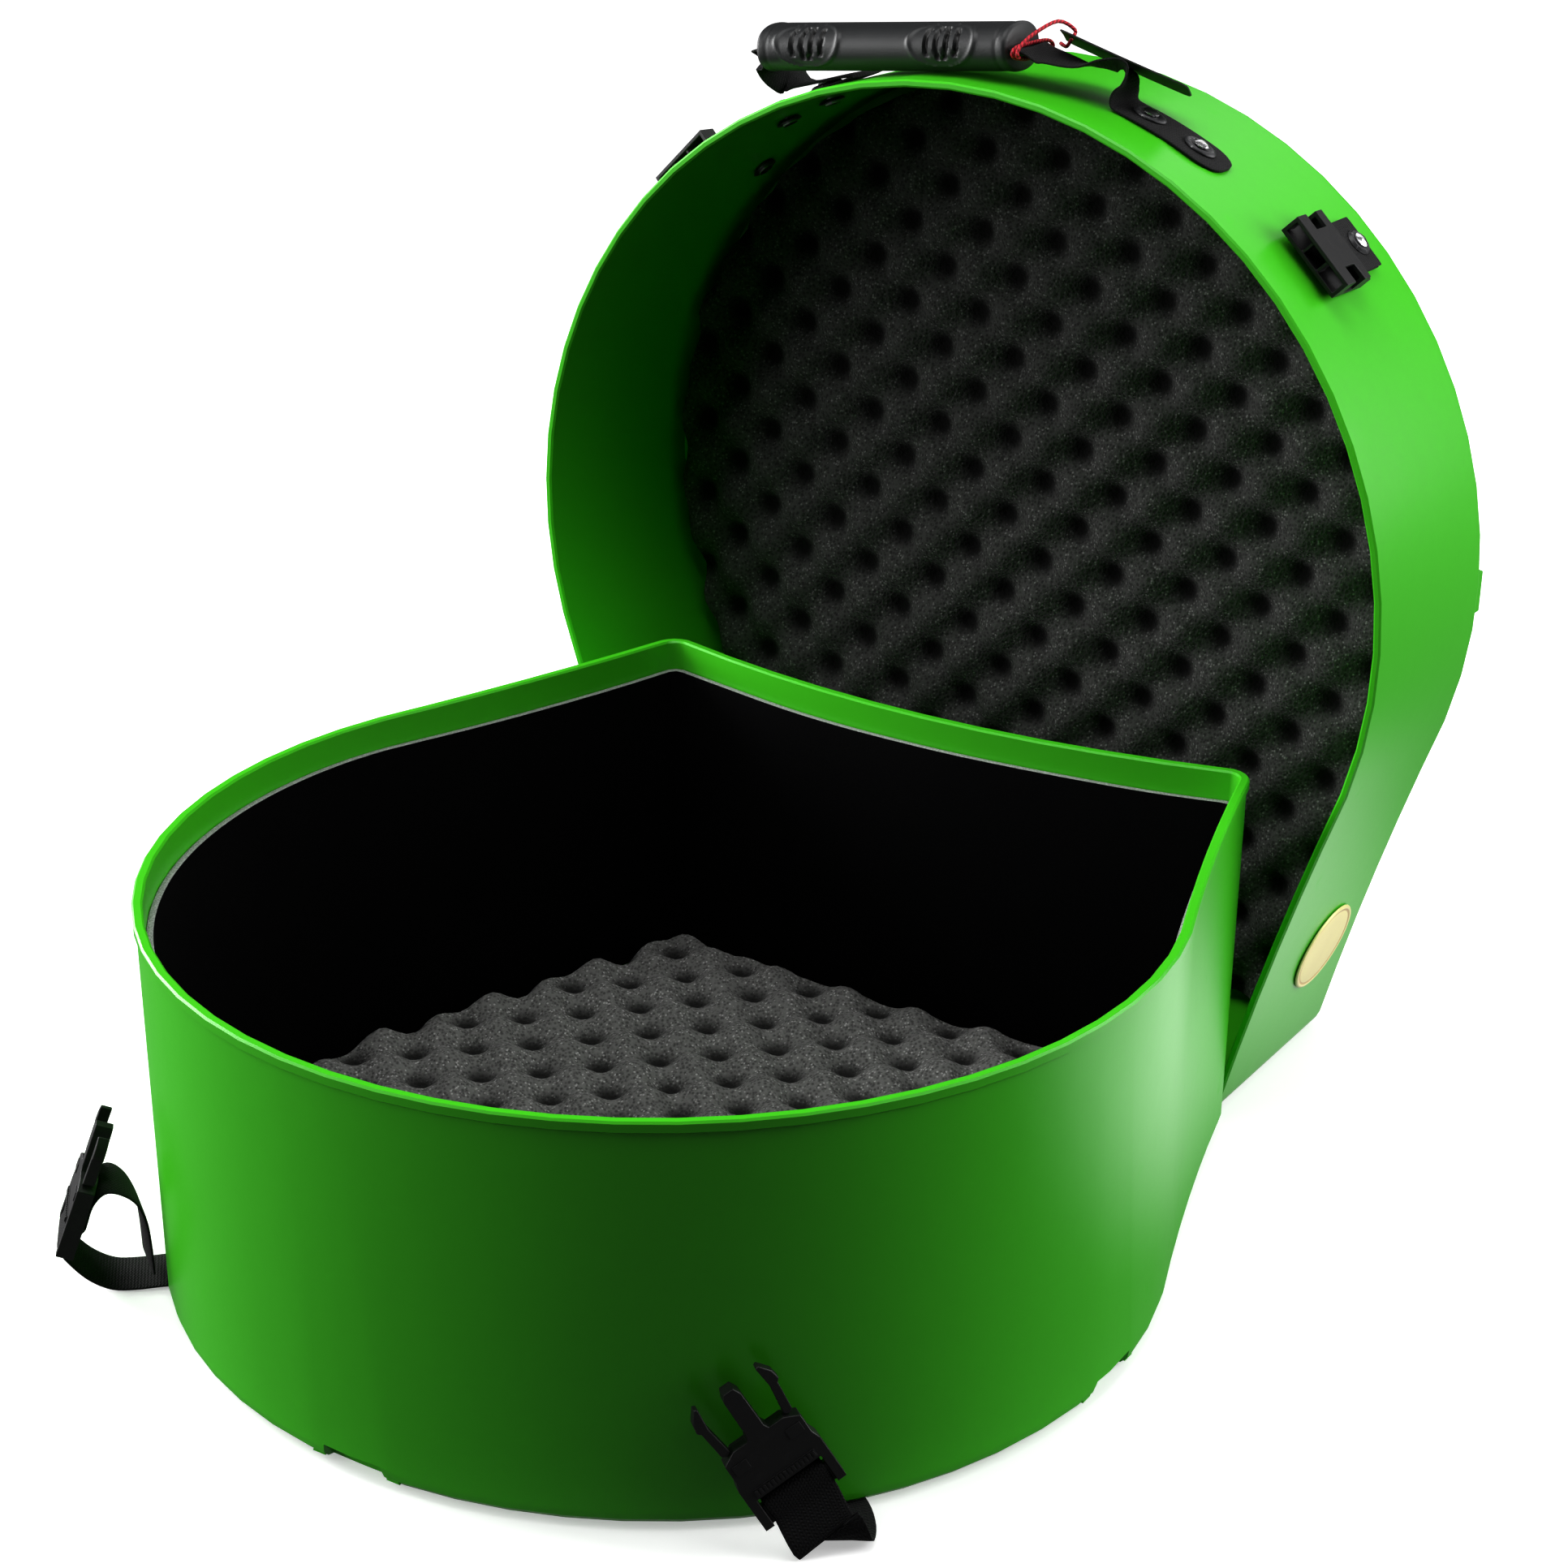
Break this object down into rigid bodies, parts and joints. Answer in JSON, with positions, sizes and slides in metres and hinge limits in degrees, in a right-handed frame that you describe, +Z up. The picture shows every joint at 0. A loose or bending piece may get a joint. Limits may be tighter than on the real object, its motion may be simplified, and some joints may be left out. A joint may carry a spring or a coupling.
{
  "type": "snare drum case",
  "caption": "D-shaped rigid drum case with foam-lined base, separate deep lid standing open behind it, carry handle, side-release buckle straps and stacking feet.",
  "frame": {"origin": "on the floor under the base, at the centre of the base's round end", "axes": "+Z up; +Y from the round front of the base towards the standing lid; +X to the right seen from the front"},
  "size_m": [0.4262, 0.5465, 0.4586],
  "materials": {
    "shell": "smooth semi-gloss moulded polyethylene, lime green",
    "lining": "black matt lining sheet",
    "foam": "charcoal egg-crate foam",
    "webbing": "black woven webbing",
    "plastic": "black moulded acetal",
    "rubber": "dark grey soft grip",
    "washer": "dark coated cup washer",
    "steel": "bright rivet",
    "gold": "satin pale gold plate, blank",
    "cord": "red twisted cord",
    "card": "thin black card, blank"
  },
  "bodies": {
    "base": {"base_shell": "shell", "base_wall_lining": "lining", "base_floor_foam": "foam", "strap_left_webbing": "webbing", "strap_left_rivet": "steel", "strap_right_webbing": "webbing", "strap_right_rivet": "steel"},
    "plug_left": {"strap_left_plug": "plastic"},
    "latch_left_1": {"strap_left_latch_1": "plastic"},
    "latch_left_2": {"strap_left_latch_2": "plastic"},
    "plug_right": {"strap_right_plug": "plastic"},
    "latch_right_1": {"strap_right_latch_1": "plastic"},
    "latch_right_2": {"strap_right_latch_2": "plastic"},
    "lid": {"lid_shell": "shell", "lid_foam": "foam", "lid_badge": "gold", "handle_webbing": "webbing", "handle_left_1_rivet": "steel", "handle_left_1_washer": "washer", "handle_left_1_backing": "washer", "handle_left_2_rivet": "steel", "handle_left_2_washer": "washer", "handle_left_2_backing": "washer", "handle_right_1_rivet": "steel", "handle_right_1_washer": "washer", "handle_right_1_backing": "washer", "handle_right_2_rivet": "steel", "handle_right_2_washer": "washer", "handle_right_2_backing": "washer", "socket_left_tab": "webbing", "socket_left_rivet": "steel", "socket_left_washer": "washer", "socket_left_backing": "washer", "socket_right_tab": "webbing", "socket_right_rivet": "steel", "socket_right_washer": "washer", "socket_right_backing": "washer"},
    "handle": {"handle_grip": "rubber", "tag_cord": "cord"},
    "tag": {"tag_card": "card"},
    "socket_left": {"socket_left": "plastic"},
    "socket_right": {"socket_right": "plastic"}
  },
  "joints": [
    {"name": "lid_tip", "type": "hinge", "parent": "base", "child": "lid", "pos_m": [-0.0107, 0.13781, 0.08917], "axis": [1, 0, 0], "range_deg": [0, 65]},
    {"name": "handle_lift", "type": "slide", "parent": "lid", "child": "handle", "axis": [0, 0.0208, 0.9998], "range_m": [0, 0.018], "deforming": ["handle_webbing"]},
    {"name": "tag_swing", "type": "hinge", "parent": "handle", "child": "tag", "pos_m": [0.02384, 0.26317, 0.45023], "axis": [0, -0.9998, 0.0208], "range_deg": [0, 50], "deforming": ["tag_cord"]},
    {"name": "socket_left_tilt", "type": "hinge", "parent": "lid", "child": "socket_left", "pos_m": [-0.1617, 0.28264, 0.37242], "axis": [-0.7009, -0.0148, -0.7131], "range_deg": [-4, 27]},
    {"name": "socket_right_tilt", "type": "hinge", "parent": "lid", "child": "socket_right", "pos_m": [0.1403, 0.28264, 0.37242], "axis": [-0.7009, 0.0148, 0.7131], "range_deg": [-4, 27]},
    {"name": "plug_left_lift", "type": "slide", "parent": "base", "child": "plug_left", "axis": [-0.0262, -0.023, 0.9994], "range_m": [0, 0.03], "deforming": ["strap_left_webbing"]},
    {"name": "plug_right_lift", "type": "slide", "parent": "base", "child": "plug_right", "axis": [0.0274, -0.0216, 0.9994], "range_m": [0, 0.03], "deforming": ["strap_right_webbing"]},
    {"name": "latch_left_1_flex", "type": "hinge", "parent": "plug_left", "child": "latch_left_1", "pos_m": [-0.18101, -0.14185, 0.04938], "axis": [0.7037, 0.6182, -0.3502], "range_deg": [0, 8], "stiffness_Nm_per_rad": 0.05},
    {"name": "latch_left_2_flex", "type": "hinge", "parent": "plug_left", "child": "latch_left_2", "pos_m": [-0.16398, -0.16123, 0.04938], "axis": [-0.7037, -0.6182, 0.3502], "range_deg": [0, 8], "stiffness_Nm_per_rad": 0.05},
    {"name": "latch_right_1_flex", "type": "hinge", "parent": "plug_right", "child": "latch_right_1", "pos_m": [0.13843, -0.16431, 0.03946], "axis": [-0.7202, 0.6772, -0.1504], "range_deg": [0, 8], "stiffness_Nm_per_rad": 0.05},
    {"name": "latch_right_2_flex", "type": "hinge", "parent": "plug_right", "child": "latch_right_2", "pos_m": [0.15225, -0.14675, 0.05236], "axis": [0.7202, -0.6772, 0.1504], "range_deg": [0, 8], "stiffness_Nm_per_rad": 0.05}
  ]
}
